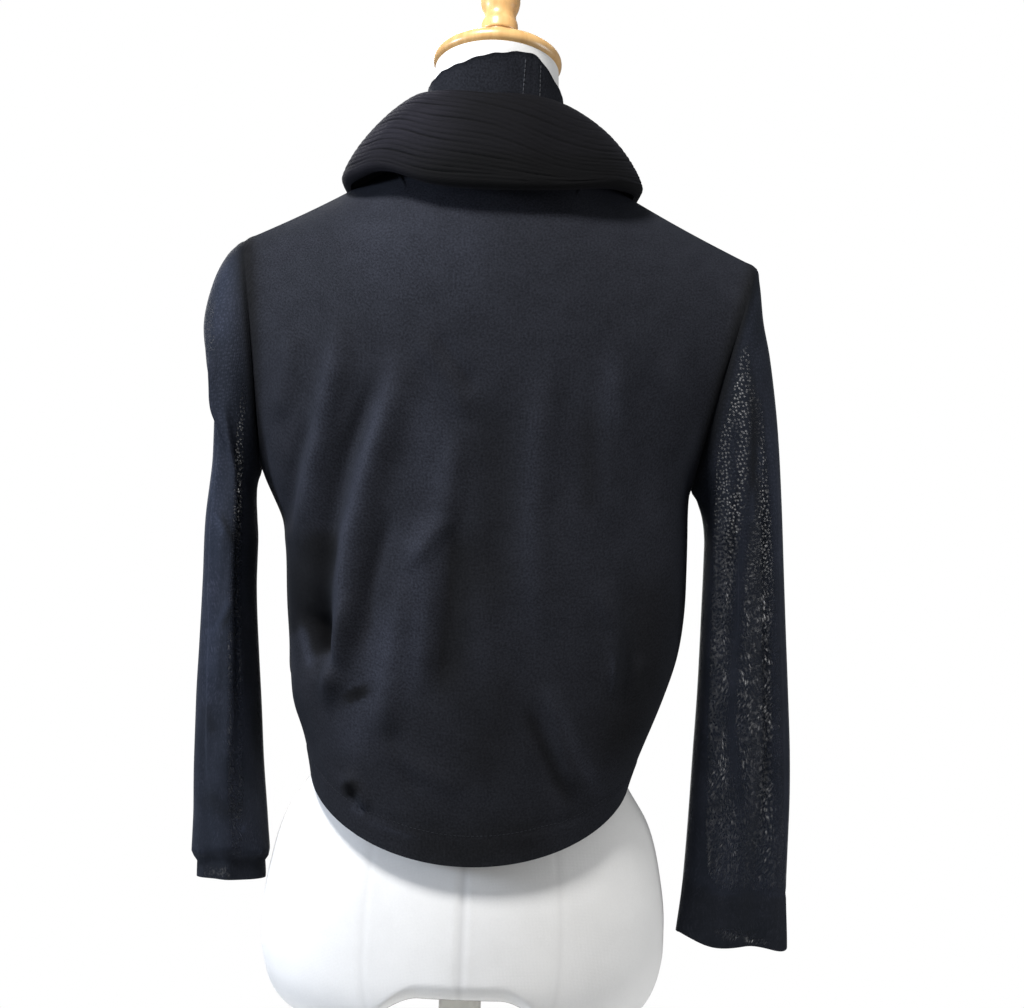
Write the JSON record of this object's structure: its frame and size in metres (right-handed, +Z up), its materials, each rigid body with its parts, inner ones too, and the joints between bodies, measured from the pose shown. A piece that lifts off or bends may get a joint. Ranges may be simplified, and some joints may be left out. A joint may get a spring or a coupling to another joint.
{
  "type": "cardigan on a limbless dress form",
  "caption": "Fine knit cardigan with a folded ribbed collar, sheer mesh sleeves and a rounded back hem, worn on a limbless dress form with a wooden neck cap, on a pole and round base.",
  "frame": {"origin": "centre of the round base's underside, on the floor", "axes": "+Z up along the pole; the garment's front faces -Y and its back +Y; +X is the wearer's left"},
  "size_m": [0.4971, 0.33, 1.3351],
  "materials": {
    "body_knit": "fine matt knit, two layers",
    "sleeve_mesh": "sheer fine mesh knit, one layer",
    "rib_knit": "soft ribbed knit",
    "canvas": "smooth white cotton cover",
    "wood": "honey varnish, satin",
    "paint": "off-white satin paint"
  },
  "bodies": {
    "root": {"back": "body_knit", "front_left": "body_knit", "front_right": "body_knit", "sleeve_left": "sleeve_mesh", "sleeve_right": "sleeve_mesh", "band_left": "rib_knit", "band_right": "rib_knit", "collar_roll": "rib_knit", "collar_stand": "body_knit", "form_torso": "canvas", "neck_cap": "wood", "neck_finial": "wood", "pole_flange": "paint", "pole": "paint", "stand_base": "paint"}
  },
  "joints": []
}
